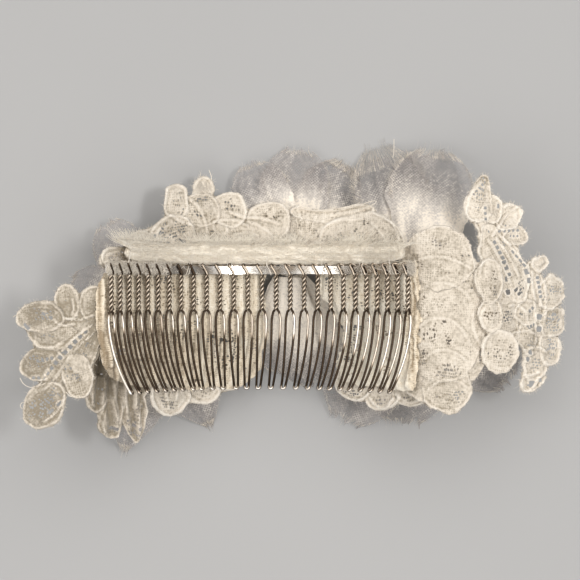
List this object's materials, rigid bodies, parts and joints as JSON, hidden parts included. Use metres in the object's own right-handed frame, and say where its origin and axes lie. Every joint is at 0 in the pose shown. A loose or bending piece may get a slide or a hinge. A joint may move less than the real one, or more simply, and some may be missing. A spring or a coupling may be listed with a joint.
{
  "type": "bridal hair comb",
  "caption": "Curved wire hair comb with twisted teeth, sewn behind layered lace and organza flowers, lying face-down.",
  "frame": {"origin": "middle of the part's box, on the surface that it lies on", "axes": "+X runs along the comb, +Y points to the side of the bar, away from the tooth tips, +Z points to the side of the head"},
  "size_m": [0.1494, 0.0883, 0.0475],
  "materials": {
    "comb_wire": "bright silvered wire, darker in the twists",
    "lace_roll": "soft fuzzy rolled lace, ivory",
    "lace": "ivory embroidered lace with raised cord edges",
    "organza": "sheer crisp organza with frayed edges"
  },
  "bodies": {
    "root": {"comb_bar": "comb_wire", "tooth_01": "comb_wire", "tooth_02": "comb_wire", "tooth_03": "comb_wire", "tooth_04": "comb_wire", "tooth_05": "comb_wire", "tooth_06": "comb_wire", "tooth_07": "comb_wire", "tooth_08": "comb_wire", "tooth_09": "comb_wire", "tooth_10": "comb_wire", "tooth_11": "comb_wire", "tooth_12": "comb_wire", "tooth_13": "comb_wire", "tooth_14": "comb_wire", "tooth_15": "comb_wire", "tooth_16": "comb_wire", "tooth_17": "comb_wire", "tooth_18": "comb_wire", "tooth_19": "comb_wire", "tooth_20": "comb_wire", "tooth_21": "comb_wire", "tooth_22": "comb_wire", "tooth_23": "comb_wire", "tooth_24": "comb_wire", "tooth_25": "comb_wire", "tooth_26": "comb_wire", "binding_roll": "lace_roll", "backing_left": "lace", "backing_right": "lace", "top_left_lace": "lace", "top_middle_lace": "lace", "left_sprig": "lace", "lower_left_lace": "lace", "bottom_left_lace": "lace", "right_main_lace": "lace", "right_lobes": "lace", "right_sprig": "lace", "bottom_right_lace": "lace", "knot_left": "organza", "knot_middle": "organza", "knot_right": "organza", "petal_left_1": "organza", "petal_left_2": "organza", "petal_left_3": "organza", "petal_left_4": "organza", "petal_left_5": "organza", "petal_middle_1": "organza", "petal_middle_2": "organza", "petal_middle_3": "organza", "petal_middle_4": "organza", "petal_middle_5": "organza", "petal_right_1": "organza", "petal_right_2": "organza", "petal_right_3": "organza", "petal_right_4": "organza", "petal_right_5": "organza"}
  },
  "joints": []
}
